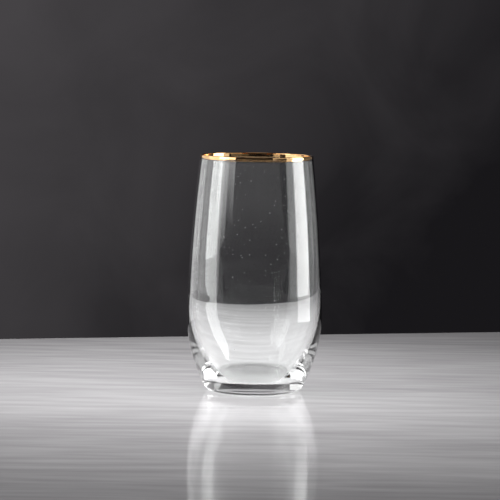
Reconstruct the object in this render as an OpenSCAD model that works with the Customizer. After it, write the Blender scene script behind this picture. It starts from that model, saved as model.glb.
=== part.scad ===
// Highball glass with a thick base, a shallow recess underneath and a gold band fired over its lip.
// The tumbler and the band are revolved from profiles of circular arcs that run into one another.
// Millimetres, +Z up, the foot stands on z = 0 and the axis is the Z axis.

/* [Outside] */
// Height from the table to the crest of the gilded lip
glass_h = 133; // [120:1:150]
// Diameter at the belly, the widest place
belly_d = 76; // [72:1:82]
// Height of the belly above the table
belly_z = 43; // [39:1:47]
// Diameter that the outside of the wall reaches at the full height
rim_d = 63.2; // [60:0.2:66]
// Radius of the side arc from the heel up to the belly
low_r = 84; // [80:1:96]
// Angle above the belly at which the flatter upper side takes over
hand_a = 1.5; // [1:0.1:2]
// Radius of the rounded heel
heel_r = 4.7; // [3:0.1:6]

/* [Wall] */
// Thickness of the wall in the upper body
wall_t = 1.25; // [1:0.05:1.5]
// Radius of the fire-polished round along the lip
lip_r = 0.5; // [0.45:0.01:0.6]
// Height above the belly at which the wall starts to thicken downward
thick_rise = 33; // [26:1:40]
// Radius of the long inside arc along which the wall thickens
thick_r = 300; // [280:10:360]
// Height above the belly at which the inside turns in toward the base
bowl_rise = 3; // [0:0.5:6]
// Radius of the inside arc below that turn
bowl_r = 62; // [58:1:66]

/* [Base] */
// Height of the middle of the inside floor above the table
base_t = 8.5; // [7:0.5:12]
// Radius of the inside floor, which is slightly domed
dome_r = 270; // [150:10:400]
// Radius of the inside corner between wall and floor
corner_r = 2.2; // [1.6:0.2:6]
// Width of the flat foot ring from the heel in to the edge of the recess
foot_w = 4.5; // [3:0.5:8]
// Height of the recess under the middle of the base
recess_h = 0.55; // [0.3:0.05:1.5]

/* [Gold band] */
// Thickness of the gold
gold_t = 0.1; // [0.08:0.01:0.2]
// Depth of the gold down the outside, from the crest
gold_out = 1.6; // [1.2:0.1:4]
// Depth of the gold down the inside, from the crest
gold_in = 2.6; // [1.2:0.1:5]

/* [Hidden] */
// Sub-parts of the glass
// Sub-part to show, or all of them
// Fineness of the circles
$fn = 240;
// Fineness of the long arcs
long_fn = 1440;
// Depth to which the flat of the foot cuts into the rounded heel
foot_cut = 0.05;
// Height by which the round of the lip stands proud of the wall
lip_proud = 0.02;
// Most height that the straight inside face of the lip can take
lip_h = 8;
// Set-back between arcs that follow each other, so that they cross at one point
lap = 0.001;
// Length by which an arc runs on past that point
run_on = 3;

// Unit vector at an angle above the horizontal
function unit(a) = [cos(a), sin(a)];
// Point where the line from one centre through another meets the circle round the first
function reach(c, r, through) = c + r * (through - c) / norm(through - c);
// Distance from the axis of an arc's outer side at a height
function side(c, r, z) = c.x + sqrt(r * r - (z - c.y) * (z - c.y));
// Outer point at which two circles cross
function crossing(a, ra, b, rb) =
    let (d = norm(b - a), u = (b - a) / d, m = (ra * ra - rb * rb + d * d) / (2 * d))
    a + m * u + sqrt(ra * ra - m * m) * [-u.y, u.x];

// Lower side arc, and the point where it hands over to the upper one
low_c = [belly_d / 2 - low_r, belly_z];
hand_p = low_c + low_r * unit(hand_a);
// Upper side arc, tangent there and passing through the rim
rim_run = [rim_d / 2, glass_h] - hand_p;
rim_lean = atan2(-rim_run.x, rim_run.y);
up_r = round(5 * norm(rim_run) / sin(rim_lean - hand_a)) / 10;
up_c = hand_p - up_r * unit(hand_a);
// Heel, tangent inside the lower arc
heel_z = heel_r - foot_cut;
heel_reach = low_r - heel_r;
heel_c = [side(low_c, heel_reach, heel_z), heel_z];
heel_p = reach(low_c, low_r, heel_c);
// Recess, a cap of a large sphere inside the foot ring
recess_x = heel_c.x - foot_w;
recess_r = (recess_x * recess_x + recess_h * recess_h) / (2 * recess_h);
// Inside of the upper wall, and the arc along which the wall thickens
in_r = up_r - wall_t;
thick_z = belly_z + thick_rise;
thick_p = [side(up_c, in_r, thick_z), thick_z];
thick_c = up_c + (in_r - thick_r) * (thick_p - up_c) / in_r;
// Inside arc of the lower bowl
bowl_z = belly_z + bowl_rise;
bowl_p = [side(thick_c, thick_r, bowl_z), bowl_z];
bowl_c = thick_c + (thick_r - bowl_r) * (bowl_p - thick_c) / thick_r;
// Domed floor and the corner round it
dome_c = [0, base_t - dome_r];
corner_c = crossing(bowl_c, bowl_r - corner_r, dome_c, dome_r + corner_r);
corner_p = reach(bowl_c, bowl_r, corner_c);
// Round of the lip, a little proud of both faces, and the straight inside face below it
lip_z = glass_h - gold_t - lip_r;
lip_c = [side(up_c, up_r, lip_z) - lip_r + lip_proud, lip_z];
lip_x = lip_c.x - lip_r + lip_proud;

// Shape moved to a point, by whole millimetres and then by the rest
module at(p) {
    whole = [round(p.x), round(p.y)];
    translate(whole)
        translate(p - whole)
            children();
}

// Strip of the half plane between two heights
module strip(z0, z1) {
    translate([0, z0])
        square([belly_d, z1 - z0]);
}

// Half profile of the outside, solid to the axis and flat at the foot
module outer_profile() {
    intersection() {
        at(up_c) circle(up_r - lap, $fn = long_fn);
        strip(hand_p.y, lip_z);
    }
    intersection() {
        at(low_c) circle(low_r);
        strip(heel_p.y, hand_p.y + run_on);
    }
    intersection() {
        at(heel_c + [lap, 0]) circle(heel_r);
        strip(0, heel_r);
    }
    square([heel_c.x, heel_z]);
}

// Half profile of the floor of the inside, with its corner
module floor_profile() {
    difference() {
        union() {
            polygon([dome_c, corner_c, [0, corner_c.y]]);
            at(corner_c + [lap, 0]) circle(corner_r);
        }
        at(dome_c) circle(dome_r + 2 * lap, $fn = long_fn);
    }
}

// Half profile of the hollow inside, open at the top
module inner_profile() {
    intersection() {
        at(up_c) circle(in_r - 2 * lap, $fn = long_fn);
        strip(thick_z, glass_h);
    }
    translate([0, glass_h - lip_h])
        square([lip_x, lip_h]);
    intersection() {
        at(thick_c) circle(thick_r - lap, $fn = long_fn);
        strip(bowl_z, thick_z + run_on);
    }
    intersection() {
        at(bowl_c) circle(bowl_r);
        strip(corner_p.y, bowl_z + run_on);
    }
    floor_profile();
}

// Half profile of the glass
module glass_profile() {
    difference() {
        outer_profile();
        inner_profile();
        at([0, recess_h - recess_r]) circle(recess_r, $fn = long_fn);
    }
    at(lip_c) circle(lip_r);
}

// Half profile of the gold, a skin over the lip that runs down both faces of the wall
module gold_profile() {
    difference() {
        union() {
            at(lip_c) circle(lip_r + gold_t);
            intersection() {
                at(up_c) circle(up_r - lap + gold_t, $fn = long_fn);
                translate([lip_c.x, glass_h - gold_out]) square([2 * wall_t, gold_out - lip_r]);
            }
            difference() {
                translate([lip_c.x - 2 * wall_t, glass_h - gold_in]) square([2 * wall_t, gold_in - lip_r]);
                at(up_c) circle(in_r - 2 * lap - gold_t, $fn = long_fn);
                square([lip_x - gold_t, glass_h]);
            }
        }
        glass_profile();
    }
}

// The glass itself, one blown piece
module tumbler() {
    color([0.82, 0.9, 0.9, 0.5])
        rotate_extrude()
            glass_profile();
}

// The gold fired on over the lip
module gold_rim() {
    color([0.83, 0.64, 0.3])
        rotate_extrude()
            gold_profile();
}

tumbler();
gold_rim();
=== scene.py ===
from math import atan2, cos, degrees, hypot, pi, radians, sin, sqrt, tan

import bpy
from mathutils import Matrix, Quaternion, Vector


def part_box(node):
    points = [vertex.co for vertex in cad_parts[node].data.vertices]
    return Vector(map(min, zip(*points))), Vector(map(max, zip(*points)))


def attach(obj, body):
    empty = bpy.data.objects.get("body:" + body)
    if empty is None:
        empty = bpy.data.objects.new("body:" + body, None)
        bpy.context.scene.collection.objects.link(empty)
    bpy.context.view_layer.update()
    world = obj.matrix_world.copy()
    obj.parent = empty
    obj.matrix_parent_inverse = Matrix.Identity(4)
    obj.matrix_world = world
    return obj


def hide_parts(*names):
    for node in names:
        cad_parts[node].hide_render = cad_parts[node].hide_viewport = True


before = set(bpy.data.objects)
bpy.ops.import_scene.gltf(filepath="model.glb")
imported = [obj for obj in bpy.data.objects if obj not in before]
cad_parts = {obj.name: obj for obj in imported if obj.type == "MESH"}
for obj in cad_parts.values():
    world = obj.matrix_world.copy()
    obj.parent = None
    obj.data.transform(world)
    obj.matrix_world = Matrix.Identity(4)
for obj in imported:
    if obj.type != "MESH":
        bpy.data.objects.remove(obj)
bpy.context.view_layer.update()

MM = 0.001

# Sizes of the glass in millimetres and degrees, as in its construction. The height comes from the frame.
GLASS_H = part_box("gold_rim")[1][2] / MM
BELLY_R = 38.0
BELLY_Z = 43.0
RIM_R = 31.6
LOW_R = 84.0
HAND_A = 1.5
HEEL_R = 4.7
WALL_T = 1.25
LIP_R = 0.5
THICK_RISE = 33.0
THICK_R = 300.0
BOWL_RISE = 3.0
BOWL_R = 62.0
BASE_T = 8.5
DOME_R = 270.0
CORNER_R = 2.2
FOOT_W = 4.5
RECESS_H = 0.55
GOLD_T = 0.1
GOLD_OUT = 1.6
GOLD_IN = 2.6
# Rounding of the edge between the foot ring and the recess
FOOT_EDGE_R = 0.3
# How far the back of the gold is let into the glass, so that the two skins never lie in one place
GOLD_SINK = 0.04
# Unevenness of the lower edges of the gold, and its waves: number round the rim, share, phase on the outside,
# and what is added to the phase on the inside
GOLD_WAVER = 0.035
GOLD_WAVES = ((3, 1.0, 0.0, 2.0), (7, 0.7, 1.3, 2.0), (17, 0.5, 0.4, 0.0))

# Fineness of the meshes: columns round the axis, and longest steps along the sections in millimetres
COLUMNS = 256
STEP_WALL = 1.2
STEP_THICK = 1.0
STEP_SIDE = 0.8
STEP_BOWL = 0.7
STEP_FLOOR = 0.6
STEP_CORNER = 0.4
STEP_LIP_FACE = 0.3
STEP_HEEL = 0.15
STEP_GOLD = 0.12
STEP_GOLD_BACK = 0.4
STEP_ROUND = 0.08
# Points closer than this are one point
SAME_POINT = 1e-5

# Glass: colour, refraction, and the tint of the light that it lets through to the table
GLASS_COLOUR = (0.99, 1.0, 0.995, 1.0)
GLASS_IOR = 1.52
GLASS_SHADE = (0.98, 0.985, 0.982, 1.0)
# Roughness where the glass is clean and where a film lies on it, the film's noise, and the range of noise it spans
GLASS_CLEAN = 0.005
GLASS_FILM = 0.045
FILM_NOISE = (35.0, 4.0)
FILM_RANGE = (0.45, 0.75)
# Specks of dust: cells to the metre, share of the cells with a speck, size of the largest in cells, and roughness
DUST_PER_METRE = 650.0
DUST_SHARE = 0.1
DUST_SIZE = 0.17
DUST_ROUGHNESS = 0.5
# Waviness of the glass: noise, and strength and height of the bump
WAVY_NOISE = (55.0, 1.0, (1.0, 1.0, 0.35))
WAVY_BUMP = (0.1, 0.0004)

# Gold: colours, their noise, the streaks of the brush, and the roughness and bump of these
GOLD_DEEP = (0.85, 0.48, 0.2, 1.0)
GOLD_PALE = (0.95, 0.66, 0.36, 1.0)
GOLD_CLOUD = (120.0, 2.0)
GOLD_STREAKS = (900.0, 3.0, (1.0, 1.0, 6.0))
GOLD_ROUGHNESS = (0.01, 0.04)
GOLD_BUMP = (0.15, 0.00002)

# Table: colours, noise of the grain and of broader clouds, range of their sum, roughness, specular level and bump
TABLE_DARK = (0.58, 0.565, 0.58, 1.0)
TABLE_PALE = (0.80, 0.785, 0.80, 1.0)
TABLE_GRAIN = (14.0, 7.0, (1.0, 7.0, 1.0))
TABLE_CLOUD = (5.0, 3.0, (0.6, 1.5, 1.0))
TABLE_RANGE = (0.75, 1.25)
TABLE_ROUGHNESS = (0.06, 0.12)
TABLE_SPECULAR = 0.2
TABLE_BUMP = (0.1, 0.0003)
# Range that most of a noise lies in
NOISE_RANGE = (0.3, 0.7)

# View, in metres and degrees
CAM_DISTANCE = 1.6
CAM_HEIGHT = 0.205
CAM_ROLL = 0.86
AIM = Vector((-0.003, 0.0, 0.0794))
PIXELS_PER_MM = 1.778
IMAGE_PX = 500
SENSOR_MM = 36.0

# Table top: back edge on the axis, slope of that edge, half width, front edge and height
TABLE_BACK = 0.286
TABLE_SKEW = 0.27
TABLE_REACH = 0.36
TABLE_FRONT = 0.7
TABLE_TOP = -0.00002
# Backdrop: its colour where it is darkest and brightest, the direction it brightens toward, and the range of that
BACKDROP_DARK = (0.0092, 0.0086, 0.0100, 1.0)
BACKDROP_BRIGHT = (0.060, 0.056, 0.060, 1.0)
BACKDROP_TOWARD = (-0.81, 0.5, 0.58)
BACKDROP_RANGE = (0.4, 0.58)
# Smears on the backdrop: noise scale, detail and distortion, and how far they shift the brightening
SMEAR_SCALE = 22.0
SMEAR_DETAIL = 5.0
SMEAR_DISTORTION = 0.6
SMEAR_SHIFT = 0.02
# Light of the room on matt surfaces
AMBIENT = (0.06, 0.06, 0.062, 1.0)

# Softboxes round the glass: bearings where each starts and ends, radiance, height of its lower edge,
# and height at which it reaches its full radiance
BOX_DISTANCE = 0.9
BOX_TOP = 0.75
BOX_FLOOR = -0.2
SOFTBOXES = (
    ("left_high", -43, -80, 2.0, 0.16, 0.26),
    ("left_middle", -57, -80, 1.2, 0.11, 0.17),
    ("left_main", -66, -112, 1.5, BOX_FLOOR, BOX_FLOOR),
    ("left_far", -112, -146, 0.9, BOX_FLOOR, BOX_FLOOR),
    ("right_brow", 33, 66, 0.8, 0.28, 0.30),
    ("right_near", 63, 78, 0.9, BOX_FLOOR, BOX_FLOOR),
    ("right_key", 78, 108, 6.5, BOX_FLOOR, BOX_FLOOR),
    ("right_far", 108, 150, 0.15, BOX_FLOOR, BOX_FLOOR),
)
# Reflector far in front: the same values, with its distance and both edges
FRONT_BEARINGS = (-58.5, 61.5)
FRONT_DISTANCE = 3.5
FRONT_HEIGHT = (0.25, 1.2)
FRONT_FULL = 0.57
FRONT_LEVEL = 0.5
# Dim panel in front and above, which only the lip looks up to
BROW_BEARINGS = (-40, 40)
BROW_HEIGHT = (0.29, 0.75)
BROW_LEVEL = 0.02
# Softbox over the table, and a card over the glass that lights nothing and is only mirrored: size, place and power
OVERHEAD = (0.3, (-0.05, 0.0, 0.33), 1.9)
CEILING = (0.3, (0.0, 0.0, 0.8), 0.12)

# Bounces of light, enough for the walls and the thick base
MAX_BOUNCES = 24
GLOSSY_BOUNCES = 12


# ---------- profile of the glass ----------

def polar(c, r, a):
    """Point at distance r from c, at an angle in degrees."""
    return (c[0] + r * cos(radians(a)), c[1] + r * sin(radians(a)))


def side(c, r, z):
    """Distance from the axis of an arc's outer side at height z."""
    return c[0] + sqrt(r * r - (z - c[1]) ** 2)


def toward(c, through, r):
    """Point at distance r from c on the line through another point."""
    d = hypot(through[0] - c[0], through[1] - c[1])
    return (c[0] + r * (through[0] - c[0]) / d, c[1] + r * (through[1] - c[1]) / d)


def crossing(a, ra, b, rb):
    """Point where two circles cross, on the left of the line from a to b."""
    d = hypot(b[0] - a[0], b[1] - a[1])
    u = ((b[0] - a[0]) / d, (b[1] - a[1]) / d)
    m = (ra * ra - rb * rb + d * d) / (2 * d)
    h = sqrt(ra * ra - m * m)
    return (a[0] + m * u[0] - h * u[1], a[1] + m * u[1] + h * u[0])


def arc(c, p0, p1, step, turn=0):
    """Points on the arc about c from p0 to p1, no further apart than step. turn 1 or -1 forces the way round."""
    r = hypot(p0[0] - c[0], p0[1] - c[1])
    a0 = atan2(p0[1] - c[1], p0[0] - c[0])
    a1 = atan2(p1[1] - c[1], p1[0] - c[0])
    sweep = (a1 - a0 + pi) % (2 * pi) - pi
    if turn and sweep * turn < 0:
        sweep += 2 * pi * turn
    n = max(3, int(abs(sweep) * r / step) + 1)
    angles = [a0 + sweep * i / n for i in range(n + 1)]
    return [(c[0] + r * cos(a), c[1] + r * sin(a)) for a in angles]


def straight(p0, p1, step):
    """Points on a line from p0 to p1, no further apart than step."""
    n = int(hypot(p1[0] - p0[0], p1[1] - p0[1]) / step) + 1
    return [(p0[0] + (p1[0] - p0[0]) * i / n, p0[1] + (p1[1] - p0[1]) * i / n) for i in range(n + 1)]


def joined(*runs):
    """Runs of points one after the other, without the doubled ends."""
    points = []
    for run in runs:
        for p in run:
            if not points or hypot(p[0] - points[-1][0], p[1] - points[-1][1]) > SAME_POINT:
                points.append(p)
    return points


# Outside: lower arc, the hand-over to the upper arc, and the heel
LOW_C = (BELLY_R - LOW_R, BELLY_Z)
HAND = polar(LOW_C, LOW_R, HAND_A)
RIM_RUN = (RIM_R - HAND[0], GLASS_H - HAND[1])
RIM_LEAN = degrees(atan2(-RIM_RUN[0], RIM_RUN[1]))
UP_R = hypot(*RIM_RUN) / (2 * sin(radians(RIM_LEAN - HAND_A)))
UP_C = polar(HAND, -UP_R, HAND_A)
HEEL_C = (side(LOW_C, LOW_R - HEEL_R, HEEL_R), HEEL_R)
HEEL_TOP = toward(LOW_C, HEEL_C, LOW_R)
RECESS_X = HEEL_C[0] - FOOT_W
RECESS_R = (RECESS_X ** 2 + RECESS_H ** 2) / (2 * RECESS_H)
RECESS_C = (0.0, RECESS_H - RECESS_R)
# Inside: thickening arc, bowl, corner and domed floor
IN_R = UP_R - WALL_T
THICK = (side(UP_C, IN_R, BELLY_Z + THICK_RISE), BELLY_Z + THICK_RISE)
THICK_C = toward(UP_C, THICK, IN_R - THICK_R)
BOWL = (side(THICK_C, THICK_R, BELLY_Z + BOWL_RISE), BELLY_Z + BOWL_RISE)
BOWL_C = toward(THICK_C, BOWL, THICK_R - BOWL_R)
DOME_C = (0.0, BASE_T - DOME_R)
CORNER_C = crossing(BOWL_C, BOWL_R - CORNER_R, DOME_C, DOME_R + CORNER_R)
CORNER_TOP = toward(BOWL_C, CORNER_C, BOWL_R)
DOME_EDGE = toward(DOME_C, CORNER_C, DOME_R)
# Round of the lip, tangent inside the outer arc, and the straight inside face that runs down to the inner arc
LIP_Z = GLASS_H - GOLD_T - LIP_R
LIP_C = (side(UP_C, UP_R - LIP_R, LIP_Z), LIP_Z)
LIP_X = LIP_C[0] - LIP_R
LIP_FOOT = (LIP_X, UP_C[1] + sqrt(IN_R ** 2 - (LIP_X - UP_C[0]) ** 2))


def lip_arc(grow):
    """Round of the lip from the outer wall over the crest to the straight inside face, grown by an amount."""
    r = LIP_R + grow
    crest = (LIP_C[0], LIP_Z + r)
    return joined(arc(LIP_C, toward(UP_C, LIP_C, UP_R + grow), crest, STEP_ROUND, 1),
                  arc(LIP_C, crest, (LIP_C[0] - r, LIP_Z), STEP_ROUND, 1))


def recess_edge():
    """Small round between the recess and the flat of the foot: its centre and both ends."""
    reach = sqrt((RECESS_R + FOOT_EDGE_R) ** 2 - (FOOT_EDGE_R - RECESS_C[1]) ** 2)
    c = (reach, FOOT_EDGE_R)
    return c, toward(RECESS_C, c, RECESS_R), (reach, 0.0)


def glass_profile():
    """Half section of the glass, from the middle of the recess round the outside and the lip to the floor."""
    edge_c, edge_in, edge_flat = recess_edge()
    lip = lip_arc(0.0)
    return joined(
        arc(RECESS_C, (0.0, RECESS_H), edge_in, STEP_SIDE),
        arc(edge_c, edge_in, edge_flat, STEP_ROUND),
        straight(edge_flat, (HEEL_C[0], 0.0), STEP_SIDE),
        arc(HEEL_C, (HEEL_C[0], 0.0), HEEL_TOP, STEP_HEEL),
        arc(LOW_C, HEEL_TOP, HAND, STEP_SIDE),
        arc(UP_C, HAND, lip[0], STEP_WALL),
        lip,
        straight(lip[-1], LIP_FOOT, STEP_LIP_FACE),
        arc(UP_C, LIP_FOOT, THICK, STEP_WALL),
        arc(THICK_C, THICK, BOWL, STEP_THICK),
        arc(BOWL_C, BOWL, CORNER_TOP, STEP_BOWL),
        arc(CORNER_C, CORNER_TOP, DOME_EDGE, STEP_CORNER),
        arc(DOME_C, DOME_EDGE, (0.0, BASE_T), STEP_FLOOR),
    )


def gold_profile():
    """Closed section of the gold: its face down both sides of the lip, and its back let into the glass."""
    z_out, z_in = GLASS_H - GOLD_OUT, GLASS_H - GOLD_IN
    face, back = lip_arc(GOLD_T), lip_arc(-GOLD_SINK)
    out_face = (side(UP_C, UP_R + GOLD_T, z_out), z_out)
    out_back = (side(UP_C, UP_R - GOLD_SINK, z_out), z_out)
    return joined(
        arc(UP_C, out_face, face[0], STEP_GOLD),
        face,
        straight(face[-1], (LIP_X - GOLD_T, z_in), STEP_GOLD),
        straight((LIP_X + GOLD_SINK, z_in), back[-1], STEP_GOLD_BACK),
        back[::-1],
        arc(UP_C, back[0], out_back, STEP_GOLD_BACK),
    )


def gold_waver(r, z, a):
    """Unevenness of the band's lower edges, which fades out toward the lip."""
    fade = min(1.0, max(0.0, (LIP_Z - z) / (GOLD_OUT - LIP_R)))
    inside = r <= LIP_C[0]
    wave = sum(share * sin(count * a + phase + inside * added) for count, share, phase, added in GOLD_WAVES)
    return GOLD_WAVER * fade * wave


def lathe(name, profile, closed=False, lift=None):
    """Mesh of revolution about Z from (radius, height) points in millimetres.
    lift(radius, height, angle) raises a point by that much."""
    verts, rows, faces = [], [], []
    for r, z in profile:
        if r < SAME_POINT:
            rows.append([len(verts)] * COLUMNS)
            verts.append((0.0, 0.0, z * MM))
            continue
        rows.append(list(range(len(verts), len(verts) + COLUMNS)))
        for k in range(COLUMNS):
            a = 2 * pi * k / COLUMNS
            up = lift(r, z, a) if lift else 0.0
            verts.append((r * cos(a) * MM, r * sin(a) * MM, (z + up) * MM))
    pairs = list(zip(rows, rows[1:]))
    if closed:
        pairs.append((rows[-1], rows[0]))
    for low, high in pairs:
        for k in range(COLUMNS):
            n = (k + 1) % COLUMNS
            # A row on the axis is one point, so its faces are triangles
            faces.append(list(dict.fromkeys((low[k], low[n], high[n], high[k]))))
    mesh = bpy.data.meshes.new(name)
    mesh.from_pydata(verts, [], faces)
    mesh.validate()
    for polygon in mesh.polygons:
        polygon.use_smooth = True
    piece = bpy.data.objects.new(name, mesh)
    bpy.context.scene.collection.objects.link(piece)
    return piece


# ---------- materials ----------

def new_material(name):
    material = bpy.data.materials.new(name)
    material.use_nodes = True
    nodes, links = material.node_tree.nodes, material.node_tree.links
    return material, nodes, links, nodes["Principled BSDF"]


def noise(nodes, links, scale, detail, stretch=(1.0, 1.0, 1.0)):
    """Noise in object space, stretched along the axes."""
    coords = nodes.new("ShaderNodeTexCoord")
    mapping = nodes.new("ShaderNodeMapping")
    mapping.inputs["Scale"].default_value = stretch
    texture = nodes.new("ShaderNodeTexNoise")
    texture.inputs["Scale"].default_value = scale
    texture.inputs["Detail"].default_value = detail
    links.new(coords.outputs["Object"], mapping.inputs["Vector"])
    links.new(mapping.outputs["Vector"], texture.inputs["Vector"])
    return texture.outputs["Fac"]


def ranged(nodes, links, value, low, high, to_low, to_high):
    """A value mapped from one range to another and held inside it."""
    node = nodes.new("ShaderNodeMapRange")
    for name, number in zip(("From Min", "From Max", "To Min", "To Max"), (low, high, to_low, to_high)):
        node.inputs[name].default_value = number
    links.new(value, node.inputs["Value"])
    return node.outputs["Result"]


def blend(nodes, links, value, low, high):
    """Colour that goes from one to another as a value goes from 0 to 1."""
    node = nodes.new("ShaderNodeValToRGB")
    node.color_ramp.elements[0].color = low
    node.color_ramp.elements[1].color = high
    links.new(value, node.inputs["Fac"])
    return node.outputs["Color"]


def bump(nodes, links, bsdf, height, strength, distance):
    """Give a shader the relief of a height."""
    node = nodes.new("ShaderNodeBump")
    node.inputs["Strength"].default_value = strength
    node.inputs["Distance"].default_value = distance
    links.new(height, node.inputs["Height"])
    links.new(node.outputs["Normal"], bsdf.inputs["Normal"])


def dusted(nodes, links, clean):
    """Roughness with fine specks of dust added: some cells of a fine grid of points hold a speck."""
    coords = nodes.new("ShaderNodeTexCoord")
    cells = nodes.new("ShaderNodeTexVoronoi")
    cells.inputs["Scale"].default_value = DUST_PER_METRE
    links.new(coords.outputs["Object"], cells.inputs["Vector"])
    pick = nodes.new("ShaderNodeSeparateColor")
    links.new(cells.outputs["Color"], pick.inputs["Color"])
    size = ranged(nodes, links, pick.outputs["Red"], 1.0 - DUST_SHARE, 1.0, 0.0, DUST_SIZE)
    inside = nodes.new("ShaderNodeMath")
    inside.operation = "LESS_THAN"
    links.new(cells.outputs["Distance"], inside.inputs[0])
    links.new(size, inside.inputs[1])
    mix = nodes.new("ShaderNodeMix")
    links.new(inside.outputs["Value"], mix.inputs["Factor"])
    links.new(clean, mix.inputs["A"])
    mix.inputs["B"].default_value = DUST_ROUGHNESS
    return mix.outputs["Result"]


def clear_glass():
    """Clear soda-lime glass, faintly wavy, with a thin film and fine specks of dust. It casts a pale shadow."""
    material, nodes, links, bsdf = new_material("clear_glass")
    bsdf.inputs["Base Color"].default_value = GLASS_COLOUR
    bsdf.inputs["Transmission Weight"].default_value = 1.0
    bsdf.inputs["IOR"].default_value = GLASS_IOR
    film = ranged(nodes, links, noise(nodes, links, *FILM_NOISE), *FILM_RANGE, GLASS_CLEAN, GLASS_FILM)
    links.new(dusted(nodes, links, film), bsdf.inputs["Roughness"])
    bump(nodes, links, bsdf, noise(nodes, links, *WAVY_NOISE), *WAVY_BUMP)
    shadow = nodes.new("ShaderNodeBsdfTransparent")
    shadow.inputs["Color"].default_value = GLASS_SHADE
    path = nodes.new("ShaderNodeLightPath")
    mix = nodes.new("ShaderNodeMixShader")
    links.new(path.outputs["Is Shadow Ray"], mix.inputs["Fac"])
    links.new(bsdf.outputs["BSDF"], mix.inputs[1])
    links.new(shadow.outputs["BSDF"], mix.inputs[2])
    links.new(mix.outputs["Shader"], nodes["Material Output"].inputs["Surface"])
    return material


def fired_gold():
    """Bright fired gold: metal with the soft streaks of the brush that laid it on."""
    material, nodes, links, bsdf = new_material("fired_gold")
    streaks = noise(nodes, links, *GOLD_STREAKS)
    colour = blend(nodes, links, noise(nodes, links, *GOLD_CLOUD), GOLD_DEEP, GOLD_PALE)
    links.new(colour, bsdf.inputs["Base Color"])
    bsdf.inputs["Metallic"].default_value = 1.0
    links.new(ranged(nodes, links, streaks, *NOISE_RANGE, *GOLD_ROUGHNESS), bsdf.inputs["Roughness"])
    bump(nodes, links, bsdf, streaks, *GOLD_BUMP)
    return material


def table_top():
    """Pale polished table with a faint grain along X."""
    material, nodes, links, bsdf = new_material("table_top")
    grain = noise(nodes, links, *TABLE_GRAIN)
    both = nodes.new("ShaderNodeMath")
    links.new(grain, both.inputs[0])
    links.new(noise(nodes, links, *TABLE_CLOUD), both.inputs[1])
    shade = ranged(nodes, links, both.outputs["Value"], *TABLE_RANGE, 0.0, 1.0)
    links.new(blend(nodes, links, shade, TABLE_DARK, TABLE_PALE), bsdf.inputs["Base Color"])
    links.new(ranged(nodes, links, grain, *NOISE_RANGE, *TABLE_ROUGHNESS), bsdf.inputs["Roughness"])
    bsdf.inputs["Specular IOR Level"].default_value = TABLE_SPECULAR
    bump(nodes, links, bsdf, grain, *TABLE_BUMP)
    return material


# ---------- stage ----------

def make_table():
    """Table top, whose back edge runs at a slant."""
    corners = [(-TABLE_REACH, -TABLE_FRONT, TABLE_TOP), (TABLE_REACH, -TABLE_FRONT, TABLE_TOP),
               (TABLE_REACH, TABLE_BACK + TABLE_SKEW * TABLE_REACH, TABLE_TOP),
               (-TABLE_REACH, TABLE_BACK - TABLE_SKEW * TABLE_REACH, TABLE_TOP)]
    mesh = bpy.data.meshes.new("table")
    mesh.from_pydata(corners, [], [(0, 1, 2, 3)])
    table = bpy.data.objects.new("table", mesh)
    bpy.context.scene.collection.objects.link(table)
    mesh.materials.append(table_top())


def backdrop_colour(nodes, links):
    """Dark wall that brightens toward the upper left, with soft smears."""
    coords = nodes.new("ShaderNodeTexCoord")
    lean = nodes.new("ShaderNodeVectorMath")
    lean.operation = "DOT_PRODUCT"
    lean.inputs[1].default_value = BACKDROP_TOWARD
    links.new(coords.outputs["Generated"], lean.inputs[0])
    smears = nodes.new("ShaderNodeTexNoise")
    smears.inputs["Scale"].default_value = SMEAR_SCALE
    smears.inputs["Detail"].default_value = SMEAR_DETAIL
    smears.inputs["Distortion"].default_value = SMEAR_DISTORTION
    links.new(coords.outputs["Generated"], smears.inputs["Vector"])
    smear = ranged(nodes, links, smears.outputs["Fac"], *NOISE_RANGE, -SMEAR_SHIFT, SMEAR_SHIFT)
    shift = nodes.new("ShaderNodeMath")
    links.new(lean.outputs["Value"], shift.inputs[0])
    links.new(smear, shift.inputs[1])
    mix = nodes.new("ShaderNodeMix")
    mix.data_type = "RGBA"
    mix.inputs["A"].default_value = BACKDROP_DARK
    mix.inputs["B"].default_value = BACKDROP_BRIGHT
    links.new(ranged(nodes, links, shift.outputs["Value"], *BACKDROP_RANGE, 0.0, 1.0), mix.inputs["Factor"])
    return mix.outputs["Result"]


def make_world():
    """Dark backdrop for what the eye, metal and glass see, and a soft grey for the rest of the light."""
    world = bpy.data.worlds.new("studio")
    world.use_nodes = True
    nodes, links = world.node_tree.nodes, world.node_tree.links
    seen = nodes["Background"]
    links.new(backdrop_colour(nodes, links), seen.inputs["Color"])
    fill = nodes.new("ShaderNodeBackground")
    fill.inputs["Color"].default_value = AMBIENT
    path = nodes.new("ShaderNodeLightPath")
    total = path.outputs["Is Camera Ray"]
    for name in ("Is Glossy Ray", "Is Transmission Ray"):
        either = nodes.new("ShaderNodeMath")
        either.operation = "MAXIMUM"
        links.new(total, either.inputs[0])
        links.new(path.outputs[name], either.inputs[1])
        total = either.outputs["Value"]
    mix = nodes.new("ShaderNodeMixShader")
    links.new(total, mix.inputs["Fac"])
    links.new(fill.outputs["Background"], mix.inputs[1])
    links.new(seen.outputs["Background"], mix.inputs[2])
    links.new(mix.outputs["Shader"], nodes["World Output"].inputs["Surface"])
    bpy.context.scene.world = world


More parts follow.
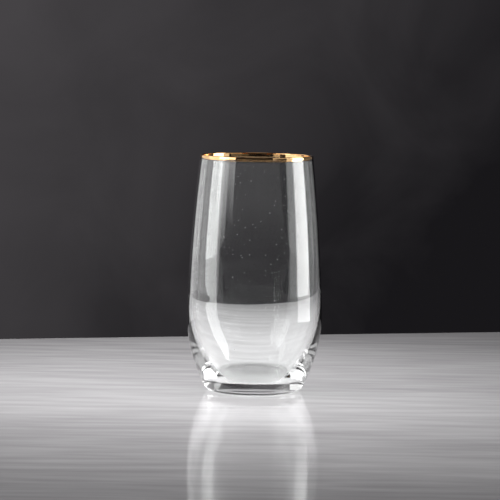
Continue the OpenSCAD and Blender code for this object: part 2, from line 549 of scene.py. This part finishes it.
def panel(name, start, end, distance, low, high, level):
    """Upright lamp facing the axis between two bearings from the view, in degrees, positive to the right."""
    middle, half = radians((start + end) / 2), radians(abs(end - start) / 2)
    lamp = bpy.data.lights.new(name, "AREA")
    lamp.shape = "RECTANGLE"
    lamp.size, lamp.size_y = 2 * distance * tan(half), high - low
    lamp.energy = level * pi * lamp.size * lamp.size_y
    holder = bpy.data.objects.new(name, lamp)
    inward = Vector((-sin(middle), cos(middle), 0.0))
    holder.location = -distance * inward + Vector((0.0, 0.0, (low + high) / 2))
    holder.rotation_euler = inward.to_track_quat("-Z", "Y").to_euler()
    holder.visible_camera, holder.visible_diffuse = True, False
    bpy.context.scene.collection.objects.link(holder)
    return holder


def fade_in(lamp, share):
    """Let a lamp's radiance grow from nothing at its lower edge to full at a share of its height."""
    lamp.use_nodes = True
    nodes, links = lamp.node_tree.nodes, lamp.node_tree.links
    place = nodes.new("ShaderNodeNewGeometry")
    split = nodes.new("ShaderNodeSeparateXYZ")
    links.new(place.outputs["Parametric"], split.inputs["Vector"])
    strength = ranged(nodes, links, split.outputs["Y"], 0.0, share, 0.0, 1.0)
    links.new(strength, nodes["Emission"].inputs["Strength"])


def down_lamp(name, size, place, watts):
    """Round lamp that shines straight down. It is not seen through the glass."""
    lamp = bpy.data.lights.new(name, "AREA")
    lamp.shape = "DISK"
    lamp.size, lamp.energy = size, watts
    holder = bpy.data.objects.new(name, lamp)
    holder.location = place
    holder.visible_camera = holder.visible_transmission = False
    bpy.context.scene.collection.objects.link(holder)
    return holder


def make_softboxes(glass, gold):
    """Softboxes that make the streaks. Only the glass and the gold mirror them, so the table doesn't glare."""
    mirrors = bpy.data.collections.new("mirrors")
    for piece in (glass, gold):
        mirrors.objects.link(piece)
    for name, start, end, level, low, full in SOFTBOXES:
        box = panel(name, start, end, BOX_DISTANCE, low, BOX_TOP, level)
        box.light_linking.receiver_collection = mirrors
        if full > low:
            fade_in(box.data, (full - low) / (BOX_TOP - low))


def make_fills():
    """Reflector and dim panel in front, and the lamps overhead."""
    low, high = FRONT_HEIGHT
    front = panel("front_fill", *FRONT_BEARINGS, FRONT_DISTANCE, low, high, FRONT_LEVEL)
    front.visible_glossy = False
    fade_in(front.data, (FRONT_FULL - low) / (high - low))
    panel("brow", *BROW_BEARINGS, BOX_DISTANCE, *BROW_HEIGHT, BROW_LEVEL)
    overhead = down_lamp("overhead", *OVERHEAD)
    overhead.visible_glossy = False
    # With this on, most of the light that reaches the table through the glass is lost
    overhead.data.cycles.use_multiple_importance_sampling = False
    down_lamp("ceiling", *CEILING).visible_diffuse = False


def make_camera():
    """Camera in front and a little above, rolled as in the photograph."""
    camera = bpy.data.cameras.new("camera")
    holder = bpy.data.objects.new("camera", camera)
    holder.location = (0.0, -CAM_DISTANCE, CAM_HEIGHT)
    look = AIM - holder.location
    roll = Quaternion((0.0, 0.0, 1.0), radians(CAM_ROLL))
    holder.rotation_mode = "QUATERNION"
    holder.rotation_quaternion = look.to_track_quat("-Z", "Y") @ roll
    camera.sensor_width = SENSOR_MM
    camera.lens = PIXELS_PER_MM * look.length / MM / IMAGE_PX * SENSOR_MM
    bpy.context.scene.collection.objects.link(holder)
    bpy.context.scene.camera = holder


def dress(piece, node, material):
    """Make a piece stand for a node of the frame."""
    piece.data.materials.append(material)
    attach(piece, "root")
    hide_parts(node)


glass_body = lathe("glass_body", glass_profile())
gold_band = lathe("gold_band", gold_profile(), True, gold_waver)
dress(glass_body, "tumbler", clear_glass())
dress(gold_band, "gold_rim", fired_gold())
make_table()
make_world()
make_softboxes(glass_body, gold_band)
make_fills()
make_camera()

scene = bpy.context.scene
scene.view_settings.view_transform = "Standard"
scene.cycles.max_bounces = MAX_BOUNCES
scene.cycles.transmission_bounces = MAX_BOUNCES
scene.cycles.glossy_bounces = GLOSSY_BOUNCES
scene.cycles.caustics_refractive = False
scene.cycles.caustics_reflective = False
